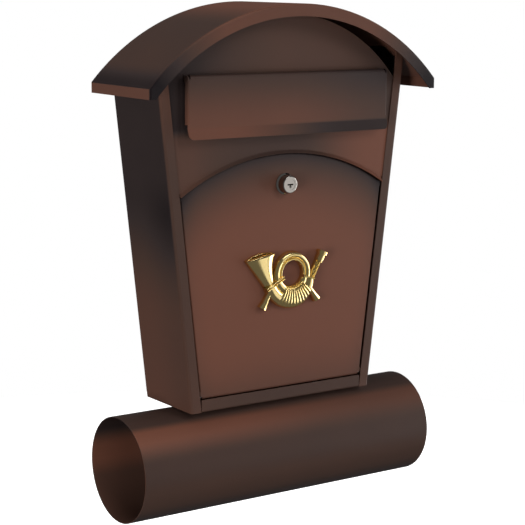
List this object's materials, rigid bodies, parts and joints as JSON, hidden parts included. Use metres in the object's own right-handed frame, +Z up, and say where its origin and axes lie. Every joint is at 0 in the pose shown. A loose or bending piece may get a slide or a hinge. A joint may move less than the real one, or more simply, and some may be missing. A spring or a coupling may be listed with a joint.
{
  "type": "wall mounted mailbox",
  "caption": "Tapered steel mailbox for a wall, with an arched roof, hinged letter flap, lockable drop-down door, horn emblem and an open newspaper tube.",
  "frame": {"origin": "centre of the four wall screw holes, on the back face of the box", "axes": "+X to the right seen from the front, +Y back into the wall, +Z up"},
  "size_m": [0.3726, 0.116, 0.5385],
  "materials": {
    "brown_coat": "satin powder coat",
    "zinc_plate": "bright zinc plated",
    "chrome_plate": "polished",
    "polished_brass": "polished and lacquered",
    "black_rubber": "matt"
  },
  "bodies": {
    "box": {"back_panel": "brown_coat", "bottom_panel": "brown_coat", "front_fascia": "brown_coat", "letter_slot_collar": "brown_coat", "roof": "brown_coat", "newspaper_tube": "brown_coat", "left_side_panel": "brown_coat", "right_side_panel": "brown_coat", "left_roof_cleat": "zinc_plate", "right_roof_cleat": "zinc_plate", "left_flap_ear": "brown_coat", "right_flap_ear": "brown_coat", "left_door_ear": "zinc_plate", "right_door_ear": "zinc_plate", "flap_hinge_rod": "brown_coat", "door_hinge_rod": "zinc_plate", "lock_strike": "zinc_plate", "tube_screws": "zinc_plate", "tube_nuts": "zinc_plate", "tube_saddle_washers": "zinc_plate", "tube_spacers": "black_rubber"},
    "flap": {"letter_flap": "brown_coat"},
    "door": {"door_panel": "brown_coat", "lock_housing": "chrome_plate", "lock_nut": "zinc_plate", "horn_emblem": "polished_brass", "emblem_push_nuts": "zinc_plate"},
    "lock": {"lock_plug": "chrome_plate", "lock_cam": "zinc_plate", "lock_cam_screw": "zinc_plate", "lock_cam_washer": "zinc_plate"}
  },
  "joints": [
    {"name": "flap_hinge", "type": "hinge", "parent": "box", "child": "flap", "pos_m": [0, -0.096, 0.1995], "axis": [-1, 0, 0], "range_deg": [0, 85]},
    {"name": "door_hinge", "type": "hinge", "parent": "box", "child": "door", "pos_m": [0, -0.086, -0.1331], "axis": [1, 0, 0], "range_deg": [0, 90]},
    {"name": "lock_turn", "type": "hinge", "parent": "door", "child": "lock", "pos_m": [0, -0.09, 0.0852], "axis": [0, -1, 0], "range_deg": [0, 90]}
  ]
}
